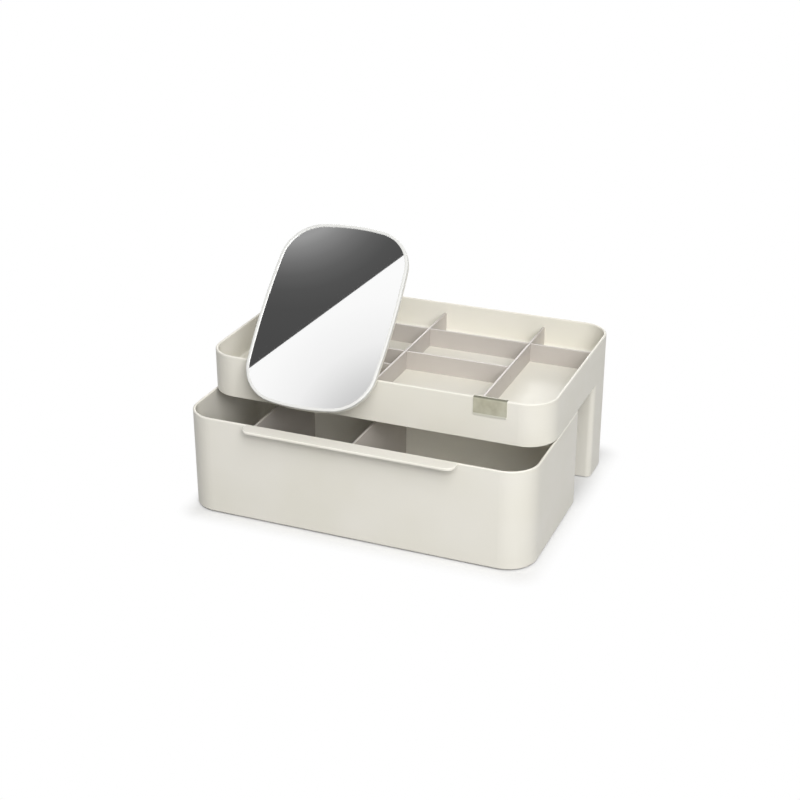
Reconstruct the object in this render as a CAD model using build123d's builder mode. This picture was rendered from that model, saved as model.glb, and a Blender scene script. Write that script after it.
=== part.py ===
from build123d import *
import os
from math import atan2, cos, degrees, hypot, radians, sin, sqrt

# Makeup organiser: a divided tray on a rear pedestal, a drawer that slides out from under it,
# and a tilting mirror on a clip that lifts off the tray's front rim.
# Millimetres. X runs along the front, +Y to the back, +Z up, and the table top is z = 0.
# The origin is on the table, under the middle of the whole object with its drawer part open.

# The body shell: tray, skirt and pedestal in one moulding
body_width = 320.0
body_depth = 199.5
body_height = 131.7
body_corner = 27.0
wall = 2.4
floor_thick = 2.4
rim_round = 1.1
edge_round = 0.5
tray_height = 38.7
tray_depth = 27.7
tray_floor_round = 2.0
pedestal_depth = 55.5
pedestal_edge = 5.0

# Guide ribs under the tray, each with a lug at its front end that stops the drawer
guide_start = 34.0
guide_thick = 2.0
guide_reach = 5.0
guide_gap = 0.4
stop_width = 16.0
stop_thick = 3.0
stop_reach = 12.0

# The plate that closes the pedestal, its screws and the feet
plate_thick = 2.4
plate_gap = 0.3
boss_inset = 42.0
boss_radius = 3.8
boss_height = 18.0
boss_sink = 0.6
screw_radius = 1.4
screw_length = 12.0
screw_gap = 0.05
screw_head_radius = 2.8
screw_slot = 0.6
screw_slot_depth = 0.7
countersink_angle = 90.0
foot_radius = 6.0
foot_proud = 1.0
foot_recess = 1.0
foot_round = 0.4
foot_gap = 0.05
base_foot_inset = 20.0
base_foot_pitch = 26.0

# The tray's dividers: thin plates that cross in half-lap joints. The outer columns are
# measured from the side they are nearer to, and the rows from the front.
divider_thick = 2.2
divider_drop = 10.2
divider_gap = 0.1
divider_round = 0.5
lap_gap = 0.12
left_column = 56.0
middle_column_x = -5.0
right_column = 66.0
front_row = 60.0
middle_row = 93.5
rear_row = 153.0

# The drawer, drawn as far out as it stands at rest
drawer_top_gap = 1.7
drawer_back_gap = 1.6
drawer_back_corner = 8.0
drawer_back_drop = 8.0
drawer_base_round = 1.2
drawer_floor_round = 3.0
drawer_pull = 46.0
drawer_divider_drop = 10.3
drawer_left_column = 60.5
drawer_middle_x = -5.5
drawer_foot_inset = 24.0
handle_width = 194.5
handle_reach = 12.5
handle_thick = 2.4
handle_corner = 8.0

# Runner strips on the drawer's side rims, which carry the front of the tray. They start behind
# the tray's rounded front corners, so that none of them shows from outside at rest.
runner_start = 76.0
runner_back_inset = 10.4
runner_leg = 1.2
runner_drop = 8.0
runner_setback = 0.6
runner_gap = 0.1

# The plain metal tag folded over the front rim
tag_side = 51.6
tag_width = 29.3
tag_height = 15.6
tag_back_height = 9.0
tag_thick = 0.8
tag_gap = 0.1
tag_corner = 0.8

# The mirror's clip and its hinge
mirror_side = 107.5
mirror_tilt = 43.9
clip_width = 46.0
clip_thick = 2.0
clip_round = 1.6
clip_inner_reach = 20.0
pad_thick = 0.8
pad_gap = 0.1
pad_margin = 2.0
knuckle_radius = 4.0
knuckle_gap = 0.3
outer_knuckle = 12.0
middle_knuckle = 16.0
washer_thick = 0.6
washer_radius = 3.4
washer_gap = 0.1
pin_radius = 1.5
pin_fit = 0.05
pin_seat = 0.02
pin_overhang = 0.6
hinge_to_back = 4.4
mirror_stop_gap = 0.15

# The mirror: a back shell and a frame ring that hold the glass between them
mirror_half_width = 60.0
mirror_half_height = 85.1
mirror_side_bow = 752.0
mirror_end_bow = 203.0
mirror_corner = 34.9
mirror_rise = 60.4
ring_width = 2.6
ring_round = 1.0
ring_lip = 0.8
lip_round = 0.3
glass_cover = 0.9
glass_thick = 2.1
glass_gap = 0.1
tape_thick = 0.8
tape_inset = 4.0
back_thick = 2.2
back_height = 3.4
back_round = 1.8

# The bracket behind the mirror
bracket_width = 34.0
bracket_thick = 3.0
bracket_top = 6.0
bracket_bottom = 26.0
bracket_neck_top = 3.0
bracket_corner = 3.0
bracket_screw_x = 11.0
bracket_screw_radius = 1.2
bracket_screw_length = 4.4
bracket_screw_end_gap = 0.2
bracket_head_radius = 2.4

# Places worked out from the sizes above
front_y = -(body_depth - drawer_pull - handle_reach) / 2
back_y = front_y + body_depth
body_mid_y = (front_y + back_y) / 2
pedestal_y = back_y - pedestal_depth
base_z = foot_proud
rim_z = base_z + body_height
skirt_z = rim_z - tray_height
tray_floor_z = rim_z - tray_depth
tray_under_z = tray_floor_z - floor_thick
divider_height = tray_depth - divider_drop
left_column_x = left_column - body_width / 2
right_column_x = body_width / 2 - right_column
tag_x = body_width / 2 - tag_side
mirror_x = mirror_side - body_width / 2
drawer_height = body_height - tray_height - drawer_top_gap
drawer_depth = pedestal_y - front_y - drawer_back_gap
drawer_front_y = front_y - drawer_pull
drawer_back_y = drawer_front_y + drawer_depth
drawer_left_x = drawer_left_column - body_width / 2
drawer_rim_z = base_z + drawer_height
drawer_floor_z = base_z + floor_thick
foot_height = foot_proud + foot_recess
guide_x = body_width / 2 - wall - runner_leg - guide_gap

os.makedirs("parts", exist_ok=True)


def body_outline(inset):
    """Draw the body's outline seen from above, moved in by inset, in the current sketch."""
    with Locations((0, body_mid_y)):
        RectangleRounded(body_width - 2 * inset, body_depth - 2 * inset, body_corner - inset)


def cut_before(y):
    """Cut away what lies in front of y in the current sketch."""
    with Locations((0, y)):
        Rectangle(2 * body_width, 2 * body_depth, align=(Align.CENTER, Align.MAX), mode=Mode.SUBTRACT)


def cut_behind(y):
    """Cut away what lies behind y in the current sketch."""
    with Locations((0, y)):
        Rectangle(2 * body_width, 2 * body_depth, align=(Align.CENTER, Align.MIN), mode=Mode.SUBTRACT)


def drawer_outline(inset):
    """Draw the drawer's outline seen from above, moved in by inset, in the current sketch."""
    half = body_width / 2 - inset
    front = drawer_front_y + inset
    back = drawer_back_y - inset
    front_corner = body_corner - inset
    back_corner = drawer_back_corner - inset
    with BuildLine() as outline:
        FilletPolyline(
            (-half, front),
            (half, front),
            (half, back),
            (-half, back),
            radius=[front_corner, front_corner, back_corner, back_corner],
            close=True,
        )
    make_face(outline.edges())


def folded_strip(inner_front, inner_back, inner_top, thick, front_low, back_low, bend):
    """Draw an upside-down U in a YZ sketch: a strip of the given thickness folded over a wall."""
    with BuildLine() as outline:
        FilletPolyline(
            (inner_front - thick, front_low),
            (inner_front - thick, inner_top + thick),
            (inner_back + thick, inner_top + thick),
            (inner_back + thick, back_low),
            (inner_back, back_low),
            (inner_back, inner_top),
            (inner_front, inner_top),
            (inner_front, front_low),
            radius=[0, bend, bend, 0, 0, edge_round, edge_round, 0],
            close=True,
        )
    make_face(outline.edges())


def level_faces(part, z):
    """The part's level faces at height z."""
    return part.faces().filter_by(Axis.Z).filter_by(lambda face: abs(face.center().Z - z) < 0.01)


def underside(x, y, z):
    """A plane at that point that looks down, so that holes on it go up."""
    return Plane(origin=(x, y, z), x_dir=(1, 0, 0), z_dir=(0, 0, -1))


# Body shell
# One moulding: the tray and its skirt, carried at the back by a hollow pedestal.
boss_front_y = pedestal_y + wall + boss_radius - boss_sink
boss_back_y = back_y - wall - boss_radius + boss_sink
boss_x = body_width / 2 - boss_inset
boss_places = [(x, y) for x in (-boss_x, boss_x) for y in (boss_front_y, boss_back_y)]
guide_z = drawer_rim_z - guide_reach
stop_z = drawer_rim_z - stop_reach
stop_outer_x = body_width / 2 - drawer_back_corner

with BuildPart() as organiser_shell:
    with BuildSketch(Plane.XY.offset(skirt_z)):
        body_outline(0)
    extrude(amount=tray_height)
    with BuildSketch(Plane.XY.offset(base_z)) as pedestal:
        body_outline(0)
        cut_before(pedestal_y)
        fillet(pedestal.vertices().group_by(Axis.Y)[0], pedestal_edge)
    extrude(amount=skirt_z - base_z)
    with BuildSketch(Plane.XY.offset(tray_floor_z)):
        body_outline(wall)
    extrude(amount=tray_depth, mode=Mode.SUBTRACT)
    with BuildSketch(Plane.XY.offset(skirt_z)):
        body_outline(wall)
        cut_behind(pedestal_y)
    extrude(amount=tray_under_z - skirt_z, mode=Mode.SUBTRACT)
    with BuildSketch(Plane.XY.offset(base_z)) as hollow:
        body_outline(wall)
        cut_before(pedestal_y + wall)
        fillet(hollow.vertices().group_by(Axis.Y)[0], pedestal_edge - wall)
    extrude(amount=tray_under_z - base_z, mode=Mode.SUBTRACT)
    fillet(level_faces(organiser_shell, rim_z).edges(), rim_round)
    fillet(level_faces(organiser_shell, tray_floor_z).edges(), tray_floor_round)
    # Guide ribs and stop lugs hang from the tray's floor, inside the drawer's side walls.
    # The lugs stand clear of the drawer's rounded rear corners, so they meet its flat back wall.
    for side in (-1, 1):
        with BuildSketch(Plane.XY.offset(guide_z)):
            with Locations((side * (guide_x - guide_thick / 2), front_y + guide_start)):
                Rectangle(
                    guide_thick,
                    pedestal_y - front_y - guide_start,
                    align=(Align.CENTER, Align.MIN),
                )
        extrude(amount=tray_under_z - guide_z)
        with BuildSketch(Plane.XY.offset(stop_z)):
            with Locations((side * (stop_outer_x - stop_width / 2), front_y + guide_start)):
                Rectangle(stop_width, stop_thick, align=(Align.CENTER, Align.MIN))
        extrude(amount=tray_under_z - stop_z)
    # Screw bosses stand off the pedestal's front and back walls
    with BuildSketch(Plane.XY.offset(base_z + plate_thick)):
        with Locations(boss_places):
            Circle(boss_radius)
            Circle(screw_radius + screw_gap, mode=Mode.SUBTRACT)
    extrude(amount=boss_height)
organiser_shell.part.label = "organiser_shell"
export_step(organiser_shell.part, "parts/organiser_shell.step")


# Base plate
# Closes the pedestal from below; its screws go up into the bosses.
base_foot_x = body_width / 2 - base_foot_inset
base_foot_y = (pedestal_y + back_y) / 2
base_foot_places = [
    (x, y)
    for x in (-base_foot_x, base_foot_x)
    for y in (base_foot_y - base_foot_pitch / 2, base_foot_y + base_foot_pitch / 2)
]

with BuildPart() as base_plate:
    with BuildSketch(Plane.XY.offset(base_z)) as plate_outline:
        body_outline(wall + plate_gap)
        cut_before(pedestal_y + wall + plate_gap)
        fillet(plate_outline.vertices().group_by(Axis.Y)[0], pedestal_edge - wall - plate_gap)
    extrude(amount=plate_thick)
    with Locations([underside(x, y, base_z) for x, y in boss_places]):
        CounterSinkHole(
            screw_radius + screw_gap,
            screw_head_radius + screw_gap,
            plate_thick,
            countersink_angle,
        )
    with Locations([underside(x, y, base_z) for x, y in base_foot_places]):
        Hole(foot_radius + foot_gap, foot_recess)
base_plate.part.label = "base_plate"
export_step(base_plate.part, "parts/base_plate.step")


def countersunk_screw(radius, length, head_radius):
    """Add a slotted countersunk screw, its head at the current location, its point along -Z."""
    head_height = head_radius - radius
    down = (Align.CENTER, Align.CENTER, Align.MAX)
    Cylinder(radius, length, align=down)
    Cone(radius, head_radius, head_height, align=down)
    Box(2 * head_radius, screw_slot, screw_slot_depth, align=down, mode=Mode.SUBTRACT)


# Base screws
# Four self-tapping screws, flush with the plate's underside.
with BuildPart() as base_screws:
    with Locations([underside(x, y, base_z) for x, y in boss_places]):
        countersunk_screw(screw_radius, screw_length, screw_head_radius)
base_screws.part.label = "base_screws"
export_step(base_screws.part, "parts/base_screws.step")


# Feet
# Soft round pads glued into recesses, which they stand out of a little.
def feet(name, places):
    """Make one node of foot pads at places."""
    with BuildPart() as pads:
        with BuildSketch(Plane.XY):
            with Locations(places):
                Circle(foot_radius)
        extrude(amount=foot_height)
        fillet(pads.edges().group_by(Axis.Z)[0], foot_round)
    pads.part.label = name
    export_step(pads.part, "parts/" + name + ".step")


feet("base_feet", base_foot_places)


# Tray dividers that run from front to back
# Each has a slot from below wherever a row divider passes through it.
def long_divider(name, x, rows):
    """Make one front-to-back divider at x, with a slot for each row in rows."""
    low_y = front_y + wall + divider_gap
    high_y = back_y - wall - divider_gap
    with BuildPart() as divider:
        with BuildSketch(Plane.YZ.offset(x - divider_thick / 2)) as plate:
            with Locations((low_y, tray_floor_z)):
                Rectangle(high_y - low_y, divider_height, align=(Align.MIN, Align.MIN))
            chamfer(plate.vertices().group_by(Axis.Y)[0], tray_floor_round)
            with Locations([(front_y + row, tray_floor_z) for row in rows]):
                Rectangle(
                    divider_thick + 2 * lap_gap,
                    divider_height / 2 + lap_gap,
                    align=(Align.CENTER, Align.MIN),
                    mode=Mode.SUBTRACT,
                )
        extrude(amount=divider_thick)
        fillet(divider.edges().filter_by(Axis.Y).group_by(Axis.Z)[-1], divider_round)
    divider.part.label = name
    export_step(divider.part, "parts/" + name + ".step")


long_divider("long_divider_left", left_column_x, [front_row, middle_row, rear_row])
long_divider("long_divider_middle", middle_column_x, [front_row, middle_row, rear_row])
long_divider("long_divider_right", right_column_x, [middle_row, rear_row])


# Tray dividers that run from side to side
# Each is slotted from above where a long divider crosses it. Where one ends at a long divider,
# the lower half of its end goes on as a tongue that fills that divider's slot.
def row_divider(name, row, low_x, high_x, crossings, tongue):
    """Make the divider of one row, from low_x to high_x, with a tongue beyond each end."""
    y = front_y + row
    with BuildPart() as divider:
        with BuildSketch(Plane.XZ.offset(-y - divider_thick / 2)) as plate:
            with Locations(((low_x + high_x) / 2, tray_floor_z)):
                Rectangle(high_x - low_x, divider_height, align=(Align.CENTER, Align.MIN))
                if tongue == 0:
                    chamfer(plate.vertices().group_by(Axis.Y)[0], tray_floor_round)
                else:
                    Rectangle(
                        high_x - low_x + 2 * tongue,
                        divider_height / 2,
                        align=(Align.CENTER, Align.MIN),
                    )
            for x in crossings:
                with Locations((x, tray_floor_z + divider_height)):
                    Rectangle(
                        divider_thick + 2 * lap_gap,
                        divider_height / 2,
                        align=(Align.CENTER, Align.MAX),
                        mode=Mode.SUBTRACT,
                    )
        extrude(amount=divider_thick)
        fillet(divider.edges().filter_by(Axis.X).group_by(Axis.Z)[-1], divider_round)
    divider.part.label = name
    export_step(divider.part, "parts/" + name + ".step")


row_end_x = body_width / 2 - wall - divider_gap
butt = divider_thick / 2 + divider_gap
all_columns = [left_column_x, middle_column_x, right_column_x]
row_divider("rear_row_divider", rear_row, -row_end_x, row_end_x, all_columns, 0)
row_divider(
    "middle_row_divider",
    middle_row,
    left_column_x + butt,
    right_column_x - butt,
    [middle_column_x],
    divider_thick,
)
row_divider("front_row_divider", front_row, left_column_x + butt, middle_column_x - butt, [], divider_thick)


# Rim tag
# A bare strip of metal folded over the tray's front wall.
with BuildPart() as rim_tag:
    with BuildSketch(Plane.YZ.offset(tag_x - tag_width / 2)):
        folded_strip(
            front_y - tag_gap,
            front_y + wall + tag_gap,
            rim_z + tag_gap,
            tag_thick,
            rim_z - tag_height,
            rim_z - tag_back_height,
            rim_round + tag_thick,
        )
    extrude(amount=tag_width)
    fillet(rim_tag.edges().filter_by(Axis.Y).group_by(Axis.Z)[0], tag_corner)
rim_tag.part.label = "rim_tag"
export_step(rim_tag.part, "parts/rim_tag.step")


# Drawer tub
# One moulding: the tub, its lower back wall and the lip handle along the front rim.
drawer_foot_x = body_width / 2 - drawer_foot_inset
drawer_foot_places = [
    (x, y)
    for x in (-drawer_foot_x, drawer_foot_x)
    for y in (drawer_front_y + drawer_foot_inset, drawer_back_y - drawer_foot_inset)
]

with BuildPart() as drawer_tub:
    with BuildSketch(Plane.XY.offset(base_z)):
        drawer_outline(0)
    extrude(amount=drawer_height)
    with BuildSketch(Plane.XY.offset(drawer_rim_z - handle_thick)) as lip:
        with Locations((0, drawer_front_y - handle_reach)):
            Rectangle(handle_width, handle_reach + wall / 2, align=(Align.CENTER, Align.MIN))
        fillet(lip.vertices().group_by(Axis.Y)[0], handle_corner)
    extrude(amount=handle_thick)
    with BuildSketch(Plane.XY.offset(drawer_floor_z)):
        drawer_outline(wall)
    extrude(amount=drawer_height - floor_thick, mode=Mode.SUBTRACT)
    fillet(level_faces(drawer_tub, drawer_rim_z).edges(), rim_round)
    lip_under_edges = level_faces(drawer_tub, drawer_rim_z - handle_thick).edges().filter_by(
        lambda edge: edge.center().Y < drawer_front_y - edge_round
    )
    fillet(lip_under_edges, edge_round)
    fillet(level_faces(drawer_tub, drawer_floor_z).edges(), drawer_floor_round)
    fillet(level_faces(drawer_tub, base_z).edges(), drawer_base_round)
    with BuildSketch(Plane.XY.offset(drawer_rim_z - drawer_back_drop)):
        with Locations((0, drawer_back_y)):
            Rectangle(2 * (guide_x + guide_gap), 2 * drawer_back_corner)
    extrude(amount=drawer_back_drop, mode=Mode.SUBTRACT)
    with Locations([underside(x, y, base_z) for x, y in drawer_foot_places]):
        Hole(foot_radius + foot_gap, foot_recess)
drawer_tub.part.label = "drawer_tub"
export_step(drawer_tub.part, "parts/drawer_tub.step")

feet("drawer_feet", drawer_foot_places)


# Drawer dividers
# Plain plates between the drawer's front and back walls.
def drawer_divider(name, x):
    """Make one front-to-back divider of the drawer at x."""
    low_y = drawer_front_y + wall + divider_gap
    high_y = drawer_back_y - wall - divider_gap
    height = drawer_height - floor_thick - drawer_divider_drop
    with BuildPart() as divider:
        with BuildSketch(Plane.YZ.offset(x - divider_thick / 2)) as plate:
            with Locations((low_y, drawer_floor_z)):
                Rectangle(high_y - low_y, height, align=(Align.MIN, Align.MIN))
            chamfer(plate.vertices().group_by(Axis.Y)[0], drawer_floor_round)
        extrude(amount=divider_thick)
        fillet(divider.edges().filter_by(Axis.Y).group_by(Axis.Z)[-1], divider_round)
    divider.part.label = name
    export_step(divider.part, "parts/" + name + ".step")


drawer_divider("drawer_divider_left", drawer_left_x)
drawer_divider("drawer_divider_middle", drawer_middle_x)


# Drawer runners
# Slippery L-shaped strips on the inner edges of the drawer's side rims. The skirt rides on them.
runner_thick = skirt_z - drawer_rim_z - runner_gap
with BuildPart() as drawer_runners:
    runner_outer = body_width / 2 - runner_setback
    runner_step = body_width / 2 - wall
    runner_inner = runner_step - runner_leg
    with BuildSketch(Plane.XZ.offset(-(drawer_front_y + runner_start))):
        with BuildLine():
            Polyline(
                (runner_inner, drawer_rim_z - runner_drop),
                (runner_step, drawer_rim_z - runner_drop),
                (runner_step, drawer_rim_z),
                (runner_outer, drawer_rim_z),
                (runner_outer, drawer_rim_z + runner_thick),
                (runner_inner, drawer_rim_z + runner_thick),
                close=True,
            )
        make_face()
    extrude(amount=-(drawer_depth - runner_start - runner_back_inset))
    mirror(about=Plane.YZ)
drawer_runners.part.label = "drawer_runners"
export_step(drawer_runners.part, "parts/drawer_runners.step")


# Hinge axis
# The mirror leans back until its back shell meets the rounded top edge of the clip, and that
# contact sets the height of the hinge.
tilt_cos = cos(radians(mirror_tilt))
tilt_sin = sin(radians(mirror_tilt))
clip_front_y = front_y - pad_gap - pad_thick - clip_thick
clip_top_z = rim_z + pad_gap + clip_thick
hinge_y = clip_front_y - knuckle_radius - knuckle_gap
stop_edge_y = clip_front_y + clip_round
stop_edge_z = clip_top_z - clip_round
stop_reach_out = hinge_to_back - mirror_stop_gap - clip_round
hinge_z = stop_edge_z - (stop_reach_out + tilt_cos * (stop_edge_y - hinge_y)) / tilt_sin
hinge_plane = Plane(origin=(mirror_x, hinge_y, hinge_z), x_dir=(1, 0, 0), z_dir=(0, -tilt_cos, tilt_sin))


def hinge_circle(radius, start_x, length, mode=Mode.ADD):
    """Add or cut a cylinder on the hinge axis that starts start_x from the clip's middle."""
    with BuildSketch(Plane.YZ.offset(mirror_x + start_x)) as disc:
        with Locations((hinge_y, hinge_z)):
            Circle(radius)
    extrude(disc.sketch, amount=length, mode=mode)


# Rim clip
# A moulded hook over the front wall, with the hinge's two outer knuckles on its front leg.
knuckle_inner_x = middle_knuckle / 2 + washer_thick + 2 * washer_gap
clip_front_low = hinge_z - knuckle_radius

with BuildPart() as rim_clip:
    with BuildSketch(Plane.YZ.offset(mirror_x - clip_width / 2)):
        folded_strip(
            front_y - pad_gap - pad_thick,
            front_y + wall + pad_gap + pad_thick,
            rim_z + pad_gap,
            clip_thick,
            clip_front_low,
            rim_z - clip_inner_reach,
            clip_round,
        )
    extrude(amount=clip_width)
    for start_x in (-knuckle_inner_x - outer_knuckle, knuckle_inner_x):
        with BuildSketch(Plane.YZ.offset(mirror_x + start_x)):
            with Locations((hinge_y, hinge_z)):
                Circle(knuckle_radius)
                Rectangle(
                    clip_front_y - hinge_y + clip_thick / 2,
                    2 * knuckle_radius,
                    align=(Align.MIN, Align.CENTER),
                )
        extrude(amount=outer_knuckle)
    hinge_circle(pin_radius + pin_seat, -clip_width / 2, clip_width, Mode.SUBTRACT)
rim_clip.part.label = "rim_clip"
export_step(rim_clip.part, "parts/rim_clip.step")


# Clip pads
# Two soft pads inside the clip that grip the wall without marking it.
with BuildPart() as clip_pads:
    pad_high_z = rim_z - pad_margin
    for low_y, low_z in (
        (front_y - pad_gap - pad_thick, clip_front_low + pad_margin),
        (front_y + wall + pad_gap, rim_z - clip_inner_reach + pad_margin),
    ):
        with BuildSketch(Plane.XY.offset(low_z)):
            with Locations((mirror_x, low_y)):
                Rectangle(clip_width - 2 * pad_margin, pad_thick, align=(Align.CENTER, Align.MIN))
        extrude(amount=pad_high_z - low_z)
clip_pads.part.label = "clip_pads"
export_step(clip_pads.part, "parts/clip_pads.step")


# Hinge pin and washers
# A steel pin held in the outer knuckles. The washers on both sides of the middle knuckle drag
# enough to hold the mirror at any angle.
pin_half = knuckle_inner_x + outer_knuckle + pin_overhang
with BuildPart() as hinge_pin:
    hinge_circle(pin_radius, -pin_half, 2 * pin_half)
    fillet(hinge_pin.edges().filter_by(GeomType.CIRCLE), pin_overhang / 2)
hinge_pin.part.label = "hinge_pin"
export_step(hinge_pin.part, "parts/hinge_pin.step")

with BuildPart() as hinge_washers:
    for start_x in (middle_knuckle / 2 + washer_gap, -middle_knuckle / 2 - washer_gap - washer_thick):
        hinge_circle(washer_radius, start_x, washer_thick)
    hinge_circle(pin_radius + pin_seat, -clip_width / 2, clip_width, Mode.SUBTRACT)
hinge_washers.part.label = "hinge_washers"
export_step(hinge_washers.part, "parts/hinge_washers.step")


# Mirror bracket
# A plate behind the mirror with a neck up to the hinge's middle knuckle.
bracket_mid = -(bracket_top + bracket_bottom) / 2
mirror_back_plane = hinge_plane.offset(hinge_to_back)

with BuildPart() as mirror_bracket:
    with BuildSketch(hinge_plane.offset(hinge_to_back - bracket_thick)):
        with Locations((0, bracket_mid)):
            RectangleRounded(bracket_width, bracket_bottom - bracket_top, bracket_corner)
    extrude(amount=bracket_thick)
    with BuildSketch(hinge_plane):
        with Locations((0, bracket_neck_top)):
            Rectangle(middle_knuckle, bracket_neck_top - bracket_mid, align=(Align.CENTER, Align.MAX))
    extrude(amount=hinge_to_back)
    hinge_circle(knuckle_radius, -middle_knuckle / 2, middle_knuckle)
    hinge_circle(pin_radius + pin_fit, -middle_knuckle / 2, middle_knuckle, Mode.SUBTRACT)
    with Locations(mirror_back_plane):
        with Locations((-bracket_screw_x, bracket_mid), (bracket_screw_x, bracket_mid)):
            Hole(
                bracket_screw_radius + screw_gap,
                bracket_screw_length - back_thick + bracket_screw_end_gap,
            )
mirror_bracket.part.label = "mirror_bracket"
export_step(mirror_bracket.part, "parts/mirror_bracket.step")


# Mirror
# Everything in the mirror is drawn on planes parallel to its back, stacked from back to front.
def on_mirror(height):
    """The plane parallel to the mirror, height above its back, centred on the glass."""
    centre = mirror_back_plane.from_local_coords(Vector(0, mirror_rise, height))
    return Plane(origin=centre, x_dir=mirror_back_plane.x_dir, z_dir=mirror_back_plane.z_dir)


def mirror_outline(grow):
    """Draw the glass outline, grown by grow: four bowed sides joined by tangent corner arcs."""
    side_centre = mirror_half_width - mirror_side_bow
    end_centre = mirror_half_height - mirror_end_bow
    side_reach = mirror_side_bow - mirror_corner
    end_reach = mirror_end_bow - mirror_corner
    apart = hypot(side_centre, end_centre)
    along = (side_reach**2 - end_reach**2 + apart**2) / (2 * apart)
    across = sqrt(side_reach**2 - along**2)
    corner_x = side_centre + (-side_centre * along - end_centre * across) / apart
    corner_y = (end_centre * along - side_centre * across) / apart
    side_angle = degrees(atan2(corner_y, corner_x - side_centre))
    end_angle = degrees(atan2(corner_y - end_centre, corner_x))
    corner_turn = end_angle - side_angle
    side_radius = mirror_side_bow + grow
    end_radius = mirror_end_bow + grow
    corner_radius = mirror_corner + grow
    with BuildLine() as outline:
        CenterArc((side_centre, 0), side_radius, -side_angle, 2 * side_angle)
        CenterArc((corner_x, corner_y), corner_radius, side_angle, corner_turn)
        CenterArc((0, end_centre), end_radius, end_angle, 180 - 2 * end_angle)
        CenterArc((-corner_x, corner_y), corner_radius, 180 - end_angle, corner_turn)
        CenterArc((-side_centre, 0), side_radius, 180 - side_angle, 2 * side_angle)
        CenterArc((-corner_x, -corner_y), corner_radius, 180 + side_angle, corner_turn)
        CenterArc((0, -end_centre), end_radius, 180 + end_angle, 180 - 2 * end_angle)
        CenterArc((corner_x, -corner_y), corner_radius, -end_angle, corner_turn)
    make_face(outline.edges())


glass_level = back_thick + tape_thick
ring_lip_level = glass_level + glass_thick + glass_gap
mirror_thick = ring_lip_level + ring_lip
bracket_screw_y = bracket_mid - mirror_rise

# Back shell, with countersunk holes for the bracket's screws in its floor
with BuildPart() as mirror_back:
    with BuildSketch(on_mirror(0)):
        mirror_outline(ring_width)
    extrude(amount=back_height)
    back_edges = mirror_back.faces().sort_by(Axis(hinge_plane.origin, hinge_plane.z_dir))[0].edges()
    fillet(back_edges, back_round)
    with BuildSketch(on_mirror(back_thick)):
        mirror_outline(glass_cover)
    extrude(amount=back_height - back_thick, mode=Mode.SUBTRACT)
    with Locations(on_mirror(back_thick)):
        with Locations((-bracket_screw_x, bracket_screw_y), (bracket_screw_x, bracket_screw_y)):
            CounterSinkHole(
                bracket_screw_radius + screw_gap,
                bracket_head_radius + screw_gap,
                back_thick,
                countersink_angle,
            )
mirror_back.part.label = "mirror_back"
export_step(mirror_back.part, "parts/mirror_back.step")

# Bracket screws, put in from the glass side before the glass is laid
with BuildPart() as bracket_screws:
    with Locations(on_mirror(back_thick)):
        with Locations((-bracket_screw_x, bracket_screw_y), (bracket_screw_x, bracket_screw_y)):
            countersunk_screw(bracket_screw_radius, bracket_screw_length, bracket_head_radius)
bracket_screws.part.label = "bracket_screws"
export_step(bracket_screws.part, "parts/bracket_screws.step")

# Foam tape between the back shell and the glass
with BuildPart() as glass_tape:
    with BuildSketch(on_mirror(back_thick)):
        mirror_outline(glass_cover - tape_inset)
    extrude(amount=tape_thick)
glass_tape.part.label = "glass_tape"
export_step(glass_tape.part, "parts/glass_tape.step")

# Silvered glass
with BuildPart() as mirror_glass:
    with BuildSketch(on_mirror(glass_level)):
        mirror_outline(glass_cover - glass_gap)
    extrude(amount=glass_thick)
mirror_glass.part.label = "mirror_glass"
export_step(mirror_glass.part, "parts/mirror_glass.step")

# Frame ring, whose lip holds the edge of the glass
with BuildPart() as mirror_frame:
    with BuildSketch(on_mirror(back_height)):
        mirror_outline(ring_width)
    extrude(amount=mirror_thick - back_height)
    with BuildSketch(on_mirror(back_height)):
        mirror_outline(glass_cover)
    extrude(amount=ring_lip_level - back_height, mode=Mode.SUBTRACT)
    with BuildSketch(on_mirror(ring_lip_level)):
        mirror_outline(0)
    extrude(amount=ring_lip, mode=Mode.SUBTRACT)
    ring_face = mirror_frame.faces().sort_by(Axis(hinge_plane.origin, hinge_plane.z_dir))[-1]
    fillet(ring_face.outer_wire().edges(), ring_round)
    fillet(ring_face.inner_wires()[0].edges(), lip_round)
mirror_frame.part.label = "mirror_frame"
export_step(mirror_frame.part, "parts/mirror_frame.step")
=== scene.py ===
import bmesh
import bpy
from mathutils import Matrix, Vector

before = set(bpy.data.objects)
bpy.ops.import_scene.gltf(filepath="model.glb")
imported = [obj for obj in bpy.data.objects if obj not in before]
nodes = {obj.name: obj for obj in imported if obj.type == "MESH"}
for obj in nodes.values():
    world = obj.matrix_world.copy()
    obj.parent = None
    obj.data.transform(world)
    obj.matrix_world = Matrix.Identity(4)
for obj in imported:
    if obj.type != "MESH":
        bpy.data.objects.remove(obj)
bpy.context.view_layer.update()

# Camera
# A long lens a little above the object and to its right, as in the photograph. Its place, its
# target and its length come from a fit to the edges seen there.
camera_place = Vector((0.4649, -1.1423, 0.6426))
camera_target = Vector((0.0003, -0.0035, 0.0853))
camera_lens = 67.24
camera_sensor = 36.0
camera_data = bpy.data.cameras.new("camera")
camera_data.lens = camera_lens
camera_data.sensor_width = camera_sensor
camera = bpy.data.objects.new("camera", camera_data)
camera.location = camera_place
camera.rotation_euler = (camera_target - camera_place).to_track_quat("-Z", "Y").to_euler()
bpy.context.scene.collection.objects.link(camera)
bpy.context.scene.camera = camera
bpy.context.scene.view_settings.view_transform = "Standard"


# Moulded shells
# Injection-moulded ABS in a warm cream: a satin skin with a fine, even grain from the mould.
# The same plastic makes the body, the drawer, the clip and the mirror's back.
patch_edges = (0.35, 0.65)
cloud_edges = (0.3, 0.7)
grains_per_cloud = 30


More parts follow.
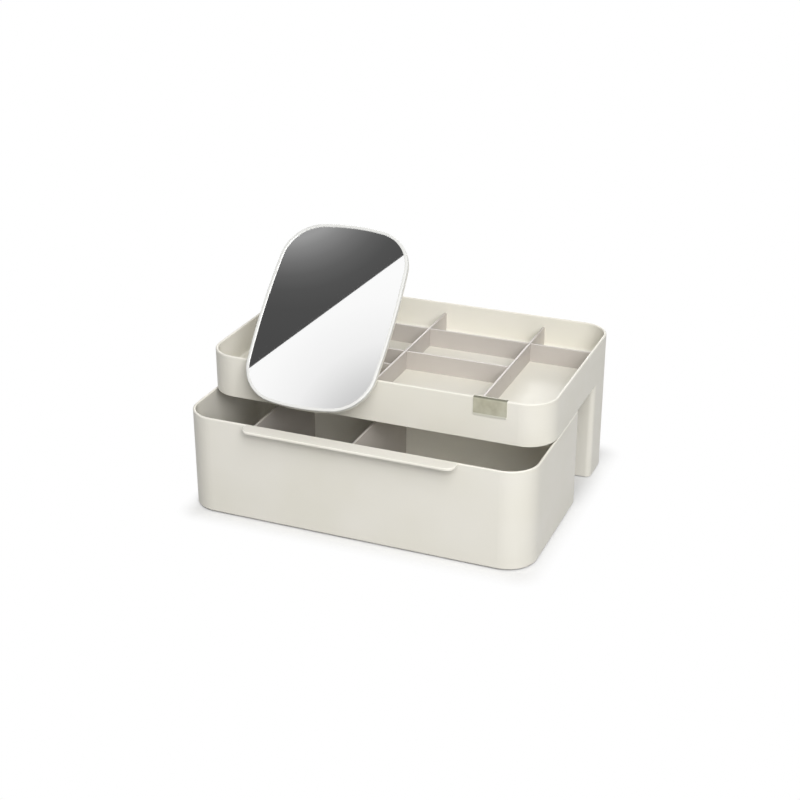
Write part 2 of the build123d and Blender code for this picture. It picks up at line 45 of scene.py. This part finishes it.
def colour_of(red, green, blue):
    """A colour given as it looks on a screen, from 0 to 255, as Blender's linear values."""
    linear = []
    for value in (red, green, blue):
        share = value / 255
        linear.append(share / 12.92 if share <= 0.04045 else ((share + 0.055) / 1.055) ** 2.4)
    return (*linear, 1.0)


def add_node(owner, kind, **values):
    """Add a shader node to owner and set its inputs, named with underscores for spaces."""
    node = owner.node_tree.nodes.new(kind)
    for name, value in values.items():
        node.inputs[name.replace("_", " ")].default_value = value
    return node


def new_material(name, colour, roughness, metallic=0.0):
    """A new material, with its Principled shader and the Object coordinates that its patterns read."""
    material = bpy.data.materials.new(name)
    material.use_nodes = True
    shader = material.node_tree.nodes["Principled BSDF"]
    shader.inputs["Base Color"].default_value = colour
    shader.inputs["Roughness"].default_value = roughness
    shader.inputs["Metallic"].default_value = metallic
    place = material.node_tree.nodes.new("ShaderNodeTexCoord")
    return material, shader, place


def add_tone(material, shader, place, dark, light, scale):
    """Let the colour drift between two near tones in soft patches."""
    links = material.node_tree.links
    patches = add_node(material, "ShaderNodeTexNoise", Scale=scale, Detail=2.0, Roughness=0.5)
    tones = material.node_tree.nodes.new("ShaderNodeValToRGB")
    for stop, position, colour in zip(tones.color_ramp.elements, patch_edges, (dark, light)):
        stop.position = position
        stop.color = colour
    links.new(place.outputs["Object"], patches.inputs["Vector"])
    links.new(patches.outputs["Fac"], tones.inputs["Fac"])
    links.new(tones.outputs["Color"], shader.inputs["Base Color"])


def add_grain(material, shader, place, scale, height, low, high):
    """Give the surface a fine grain: a bump of that height in metres, and an uneven roughness."""
    links = material.node_tree.links
    grain = add_node(material, "ShaderNodeTexNoise", Scale=scale, Detail=3.0, Roughness=0.6)
    bump = add_node(material, "ShaderNodeBump", Strength=1.0, Distance=height)
    cloud = add_node(
        material,
        "ShaderNodeTexNoise",
        Scale=scale / grains_per_cloud,
        Detail=2.0,
        Roughness=0.5,
    )
    spread = add_node(
        material,
        "ShaderNodeMapRange",
        From_Min=cloud_edges[0],
        From_Max=cloud_edges[1],
        To_Min=low,
        To_Max=high,
    )
    links.new(place.outputs["Object"], grain.inputs["Vector"])
    links.new(grain.outputs["Fac"], bump.inputs["Height"])
    links.new(bump.outputs["Normal"], shader.inputs["Normal"])
    links.new(place.outputs["Object"], cloud.inputs["Vector"])
    links.new(cloud.outputs["Fac"], spread.inputs["Value"])
    links.new(spread.outputs["Result"], shader.inputs["Roughness"])


def finish_with(material, *names):
    """Give that material to these nodes."""
    for name in names:
        nodes[name].data.materials.clear()
        nodes[name].data.materials.append(material)


cream_colour = colour_of(229, 226, 216)
cream_dark = colour_of(227, 224, 213)
cream_light = colour_of(231, 228, 219)
cream_gloss = 0.3
mould_grain = 2600.0
mould_height = 0.00001
cream, cream_shader, cream_place = new_material("cream_plastic", cream_colour, roughness=0.42)
add_tone(cream, cream_shader, cream_place, cream_dark, cream_light, scale=14.0)
add_grain(cream, cream_shader, cream_place, mould_grain, mould_height, low=0.38, high=0.46)
cream_shader.inputs["Specular IOR Level"].default_value = cream_gloss
finish_with(
    cream,
    "organiser_shell",
    "base_plate",
    "drawer_tub",
    "rim_clip",
    "mirror_bracket",
    "mirror_back",
)

# Dividers
# Thin moulded plates in a slightly pinker plastic than the shells, their colour painted darker as
# well, as shade in the compartments. They stand on the floors of the tray and the drawer, slid in
# from above.
# These tones hold painted shade: they are darker than the plastic itself.
divider_colour = colour_of(187, 181, 175)
divider_dark = colour_of(184, 178, 172)
divider_light = colour_of(190, 184, 178)
divider_plastic, divider_shader, divider_place = new_material(
    "divider_plastic",
    divider_colour,
    roughness=0.4,
)
add_tone(divider_plastic, divider_shader, divider_place, divider_dark, divider_light, scale=18.0)
add_grain(
    divider_plastic,
    divider_shader,
    divider_place,
    mould_grain,
    mould_height,
    low=0.36,
    high=0.44,
)
finish_with(
    divider_plastic,
    "long_divider_left",
    "long_divider_middle",
    "long_divider_right",
    "rear_row_divider",
    "middle_row_divider",
    "front_row_divider",
    "drawer_divider_left",
    "drawer_divider_middle",
)

# Rim tag
# A strip of thin steel folded over the front rim, with a satin champagne plating that is a little
# cloudy. Its edges are broken. A brighter band along its lower edge is a painted highlight, and a
# darker band along its fold at the top is painted shade.
tag_edge = 0.0003
tag_highlight_band = 0.0018
tag_fold_shade_band = 0.0014
tag_blend = 0.0005
tag_colour = colour_of(194, 192, 173)
tag_dark = colour_of(180, 177, 157)
tag_light = colour_of(202, 200, 182)
# The next two colours are painted light: a highlight for the lower edge, shade for the fold.
painted_highlight_colour = colour_of(226, 225, 213)
painted_shade_colour = colour_of(128, 127, 112)
tag_metal, tag_shader, tag_place = new_material("tag_metal", tag_colour, roughness=0.34, metallic=0.8)
add_tone(tag_metal, tag_shader, tag_place, tag_dark, tag_light, scale=90.0)
add_grain(tag_metal, tag_shader, tag_place, scale=900.0, height=0.000004, low=0.3, high=0.4)
tag_heights = [corner[2] for corner in nodes["rim_tag"].bound_box]
tag_links = tag_metal.node_tree.links
tag_split = tag_metal.node_tree.nodes.new("ShaderNodeSeparateXYZ")
tag_links.new(tag_place.outputs["Object"], tag_split.inputs["Vector"])


def add_tag_band(start, end, colour):
    """Let the tag's colour change to that one between the height start and the height end."""
    share = add_node(tag_metal, "ShaderNodeMapRange", From_Min=start, From_Max=end)
    mixed = tag_metal.node_tree.nodes.new("ShaderNodeMixRGB")
    mixed.inputs["Color2"].default_value = colour
    tag_links.new(tag_split.outputs["Z"], share.inputs["Value"])
    tag_links.new(share.outputs["Result"], mixed.inputs["Fac"])
    tag_links.new(tag_shader.inputs["Base Color"].links[0].from_socket, mixed.inputs["Color1"])
    tag_links.new(mixed.outputs["Color"], tag_shader.inputs["Base Color"])


# A painted highlight along the lower edge, and painted shade along the fold at the top.
highlight_level = min(tag_heights) + tag_highlight_band
shade_level = max(tag_heights) - tag_fold_shade_band
add_tag_band(highlight_level, highlight_level - tag_blend, painted_highlight_colour)
add_tag_band(shade_level, shade_level + tag_blend, painted_shade_colour)
finish_with(tag_metal, "rim_tag")
tag_bevel = nodes["rim_tag"].modifiers.new("broken_edges", "BEVEL")
tag_bevel.width = tag_edge
tag_bevel.segments = 2
tag_bevel.limit_method = "ANGLE"

# Feet and pads
# Soft moulded rubber: dark pads glued under the body and the drawer, and pale ones glued inside
# the clip, where they grip the tray's rim.
foot_colour = colour_of(92, 90, 87)
pad_colour = colour_of(205, 202, 194)
rubber_grain = 1800.0
rubber_height = 0.00003
foot_rubber, foot_shader, foot_place = new_material("foot_rubber", foot_colour, roughness=0.8)
add_grain(foot_rubber, foot_shader, foot_place, rubber_grain, rubber_height, low=0.75, high=0.9)
finish_with(foot_rubber, "base_feet", "drawer_feet")

pad_rubber, pad_shader, pad_place = new_material("pad_rubber", pad_colour, roughness=0.75)
add_grain(pad_rubber, pad_shader, pad_place, rubber_grain, rubber_height, low=0.7, high=0.85)
finish_with(pad_rubber, "clip_pads")

# Runners and hinge washers
# Slippery acetal, whiter and glossier than the shells. The runners lie on the drawer's side rims,
# and the washers sit on the pin and hold the mirror by friction.
runner_colour = colour_of(232, 231, 226)
runner_plastic, runner_shader, runner_place = new_material("runner_plastic", runner_colour, roughness=0.3)
add_grain(
    runner_plastic,
    runner_shader,
    runner_place,
    scale=2200.0,
    height=0.000006,
    low=0.26,
    high=0.34,
)
finish_with(runner_plastic, "drawer_runners", "hinge_washers")

# Screws and hinge pin
# Plain steel, turned and lightly oiled. The screws hold the base plate and the mirror's bracket,
# and the pin runs through the hinge's knuckles.
steel_colour = colour_of(176, 176, 174)
screw_steel, steel_shader, steel_place = new_material(
    "screw_steel",
    steel_colour,
    roughness=0.32,
    metallic=1.0,
)
add_grain(screw_steel, steel_shader, steel_place, scale=1500.0, height=0.000005, low=0.26, high=0.4)
finish_with(screw_steel, "base_screws", "bracket_screws", "hinge_pin")

# Mirror ring
# A glossy moulding, less yellow than the shells, snapped on the back shell round the glass. Its
# colour is also painted greyer, as shade on its face, which is turned up towards the key light.
# The grey in this colour is painted shade; the ring's own plastic is whiter.
ring_colour = colour_of(219, 219, 216)
ring_height = 0.000001
ring_plastic, ring_shader, ring_place = new_material("ring_plastic", ring_colour, roughness=0.22)
add_grain(ring_plastic, ring_shader, ring_place, mould_grain, ring_height, low=0.18, high=0.26)
finish_with(ring_plastic, "mirror_frame")

# Mirror glass and its tape
# Silvered float glass, bright and without a tint, stuck to the back shell with a sheet of grey
# foam tape.
silver_colour = colour_of(252, 252, 252)
foam_colour = colour_of(112, 112, 110)
mirror_silver = new_material("mirror_silver", silver_colour, roughness=0.01, metallic=1.0)[0]
finish_with(mirror_silver, "mirror_glass")

tape_foam, tape_shader, tape_place = new_material("tape_foam", foam_colour, roughness=0.9)
add_grain(tape_foam, tape_shader, tape_place, scale=1200.0, height=0.00006, low=0.85, high=0.95)
finish_with(tape_foam, "glass_tape")


# Floor
# A wide white table top. It keeps the object's shadow around the object's foot, and farther off
# it is seen as white as the room behind. It throws back only part of the light on the object.
def flat_piece(name, corners):
    """A flat stage piece with those corners."""
    shape = bmesh.new()
    shape.faces.new([shape.verts.new(corner) for corner in corners])
    mesh = bpy.data.meshes.new(name)
    shape.to_mesh(mesh)
    shape.free()
    piece = bpy.data.objects.new(name, mesh)
    bpy.context.scene.collection.objects.link(piece)
    return piece


def white_seen(tree):
    """A socket that is 1 for what the camera, metal or glass sees, and 0 for the light on the object."""
    rays = tree.nodes.new("ShaderNodeLightPath")
    mirrored = tree.nodes.new("ShaderNodeMath")
    mirrored.operation = "MAXIMUM"
    seen = tree.nodes.new("ShaderNodeMath")
    seen.operation = "MAXIMUM"
    tree.links.new(rays.outputs["Is Glossy Ray"], mirrored.inputs[0])
    tree.links.new(rays.outputs["Is Transmission Ray"], mirrored.inputs[1])
    tree.links.new(rays.outputs["Is Camera Ray"], seen.inputs[0])
    tree.links.new(mirrored.outputs[0], seen.inputs[1])
    return seen.outputs[0]


def grey_of(level):
    """A grey of that linear level."""
    return (level, level, level, 1.0)


floor_half = 14.0
floor_seen_white = 0.8
floor_bounce = 0.3
foot_middle = (0.004, 0.006, 0.0)
foot_reach = (0.147, 0.12, 0.0)
shadow_reach = 0.027
floor = flat_piece(
    "floor",
    (
        (-floor_half, -floor_half, 0.0),
        (floor_half, -floor_half, 0.0),
        (floor_half, floor_half, 0.0),
        (-floor_half, floor_half, 0.0),
    ),
)
floor_white = bpy.data.materials.new("floor_white")
floor_white.use_nodes = True
floor_tree = floor_white.node_tree
floor_tree.nodes.clear()
floor_dim = add_node(floor_white, "ShaderNodeBsdfDiffuse", Color=grey_of(floor_bounce))
floor_bright = add_node(floor_white, "ShaderNodeBsdfDiffuse", Color=grey_of(floor_seen_white))
floor_glow = add_node(floor_white, "ShaderNodeEmission", Color=grey_of(1.0), Strength=1.0)

# These steps tell how far a point of the floor lies outside the object's footprint.
outside_steps = (
    ("SUBTRACT", foot_middle),
    ("ABSOLUTE", None),
    ("SUBTRACT", foot_reach),
    ("MAXIMUM", (0.0, 0.0, 0.0)),
)
floor_outside = floor_tree.nodes.new("ShaderNodeTexCoord").outputs["Object"]
for operation, amount in outside_steps:
    floor_step = floor_tree.nodes.new("ShaderNodeVectorMath")
    floor_step.operation = operation
    if amount is not None:
        floor_step.inputs[1].default_value = amount
    floor_tree.links.new(floor_outside, floor_step.inputs[0])
    floor_outside = floor_step.outputs[0]
floor_distance = floor_tree.nodes.new("ShaderNodeVectorMath")
floor_distance.operation = "LENGTH"
floor_fade = add_node(floor_white, "ShaderNodeMapRange", From_Min=0.0, From_Max=shadow_reach)
floor_fade.interpolation_type = "SMOOTHSTEP"
floor_seen = floor_tree.nodes.new("ShaderNodeMixShader")
floor_pick = floor_tree.nodes.new("ShaderNodeMixShader")
floor_out = floor_tree.nodes.new("ShaderNodeOutputMaterial")
floor_tree.links.new(floor_outside, floor_distance.inputs[0])
floor_tree.links.new(floor_distance.outputs["Value"], floor_fade.inputs["Value"])
floor_tree.links.new(floor_fade.outputs["Result"], floor_seen.inputs["Fac"])
floor_tree.links.new(floor_bright.outputs[0], floor_seen.inputs[1])
floor_tree.links.new(floor_glow.outputs[0], floor_seen.inputs[2])
floor_tree.links.new(white_seen(floor_tree), floor_pick.inputs["Fac"])
floor_tree.links.new(floor_dim.outputs[0], floor_pick.inputs[1])
floor_tree.links.new(floor_seen.outputs[0], floor_pick.inputs[2])
floor_tree.links.new(floor_pick.outputs[0], floor_out.inputs["Surface"])
floor.data.materials.append(floor_white)

# World
# Even studio light from all sides, a little warm. The camera, metal and glass see it as plain
# white.
world_colour = (1.0, 0.995, 0.985, 1.0)
world_strength = 0.39
world = bpy.data.worlds.new("studio")
bpy.context.scene.world = world
world.use_nodes = True
world_tree = world.node_tree
world_light = world_tree.nodes["Background"]
world_light.inputs["Color"].default_value = world_colour
world_light.inputs["Strength"].default_value = world_strength
world_seen = add_node(world, "ShaderNodeBackground", Color=grey_of(1.0), Strength=1.0)
world_mix = world_tree.nodes.new("ShaderNodeMixShader")
world_tree.links.new(white_seen(world_tree), world_mix.inputs["Fac"])
world_tree.links.new(world_light.outputs[0], world_mix.inputs[1])
world_tree.links.new(world_seen.outputs[0], world_mix.inputs[2])
world_tree.links.new(world_mix.outputs[0], world_tree.nodes["World Output"].inputs["Surface"])


# Lamps
# A very large soft box high up in front and to the right is the key light. A smaller and lower one
# at its right reaches in under the tray, and one behind lights the object's back.
def soft_box(name, place, target, size, power):
    """A square lamp at place, turned to target."""
    lamp_data = bpy.data.lights.new(name, "AREA")
    lamp_data.shape = "SQUARE"
    lamp_data.size = size
    lamp_data.energy = power
    lamp = bpy.data.objects.new(name, lamp_data)
    lamp.location = place
    lamp.rotation_euler = (Vector(target) - Vector(place)).to_track_quat("-Z", "Y").to_euler()
    bpy.context.scene.collection.objects.link(lamp)


lamp_target = (0.0, 0.0, 0.05)
key_place = (0.74, -1.28, 1.76)
side_place = (1.16, -1.66, 1.13)
back_place = (-0.6, 2.15, 0.65)
soft_box("key_lamp", key_place, lamp_target, size=1.3, power=25.5)
soft_box("side_lamp", side_place, lamp_target, size=0.9, power=22.0)
soft_box("back_lamp", back_place, lamp_target, size=0.9, power=15.0)


# Mirror card
# A board over the table that only reflections see. It is half dark, half pale, and the straight
# edge between the halves is what the mirror shows as a diagonal. Each half has its own tone, which
# changes towards one spot. The pixels are places in the photograph, 800 wide and high.
card_height = 1.9
card_reach = 0.75
card_depth = 0.6
picture_size = 800.0
dark_edge_start = (249.5, 368.0)
dark_edge_end = (404.0, 255.0)
dark_spot = (260.0, 130.0)
dark_spot_end = (300.0, 346.0)
dark_tones = (
    (0.0, 168),
    (0.5, 155),
    (0.54, 136),
    (0.6, 114),
    (0.66, 96),
    (0.73, 83),
    (0.82, 77),
    (1.0, 74),
)
pale_spot = (440.0, 500.0)
pale_spot_end = (300.0, 305.0)
pale_tones = (
    (0.0, 208),
    (0.56, 208),
    (0.61, 219),
    (0.67, 232),
    (0.73, 242),
    (0.79, 246),
    (0.9, 252),
    (1.0, 254),
)
large_faces = 8


def mirror_plane():
    """A point on the front of the glass and its outward normal, from the large face that looks up."""
    glass = nodes["mirror_glass"].data
    faces = sorted(glass.polygons, key=lambda face: face.area)
    front = max(faces[-large_faces:], key=lambda face: face.normal.z)
    return glass.vertices[front.vertices[0]].co.copy(), front.normal.copy()


def on_card(pixel):
    """Where the ray through that pixel of the photograph, thrown back by the mirror, meets the card."""
    point, normal = mirror_plane()
    half_view = camera_data.sensor_width / 2 / camera_data.lens
    across = (pixel[0] / picture_size * 2 - 1) * half_view
    up = (1 - pixel[1] / picture_size * 2) * half_view
    ray = (camera.rotation_euler.to_matrix() @ Vector((across, up, -1.0))).normalized()
    hit = camera_place + ray * ((point - camera_place).dot(normal) / ray.dot(normal))
    back = ray - 2 * ray.dot(normal) * normal
    return hit + back * ((card_height - hit.z) / back.z)


edge_start = on_card(dark_edge_start)
edge_end = on_card(dark_edge_end)
edge_way = (edge_end - edge_start).normalized()


def card_half(name, spot_pixel, end_pixel, tones):
    """The half of the card that spot_pixel lies in. Its tones go from that spot to end_pixel."""
    spot = on_card(spot_pixel)
    spot_radius = (on_card(end_pixel) - spot).length
    across_edge = (spot - edge_start) - (spot - edge_start).dot(edge_way) * edge_way
    side = across_edge.normalized()
    start = edge_start - edge_way * card_reach
    end = edge_end + edge_way * card_reach
    piece = flat_piece(name, (start, end, end + side * card_depth, start + side * card_depth))
    material = bpy.data.materials.new(name)
    material.use_nodes = True
    tree = material.node_tree
    tree.nodes.clear()
    place = tree.nodes.new("ShaderNodeTexCoord")
    distance = tree.nodes.new("ShaderNodeVectorMath")
    distance.operation = "DISTANCE"
    distance.inputs[1].default_value = spot
    share = add_node(material, "ShaderNodeMapRange", From_Min=0.0, From_Max=spot_radius)
    ramp = tree.nodes.new("ShaderNodeValToRGB")
    ramp.color_ramp.elements.remove(ramp.color_ramp.elements[1])
    for position, grey in tones:
        stop = ramp.color_ramp.elements[0] if position == 0.0 else ramp.color_ramp.elements.new(position)
        stop.color = colour_of(grey, grey, grey)
    glow = add_node(material, "ShaderNodeEmission", Strength=1.0)
    out = tree.nodes.new("ShaderNodeOutputMaterial")
    tree.links.new(place.outputs["Object"], distance.inputs[0])
    tree.links.new(distance.outputs["Value"], share.inputs["Value"])
    tree.links.new(share.outputs["Result"], ramp.inputs["Fac"])
    tree.links.new(ramp.outputs["Color"], glow.inputs["Color"])
    tree.links.new(glow.outputs[0], out.inputs["Surface"])
    piece.data.materials.append(material)
    piece.visible_camera = False
    piece.visible_diffuse = False
    piece.visible_shadow = False
    piece.visible_transmission = False


card_half("dark_card", dark_spot, dark_spot_end, dark_tones)
card_half("pale_card", pale_spot, pale_spot_end, pale_tones)
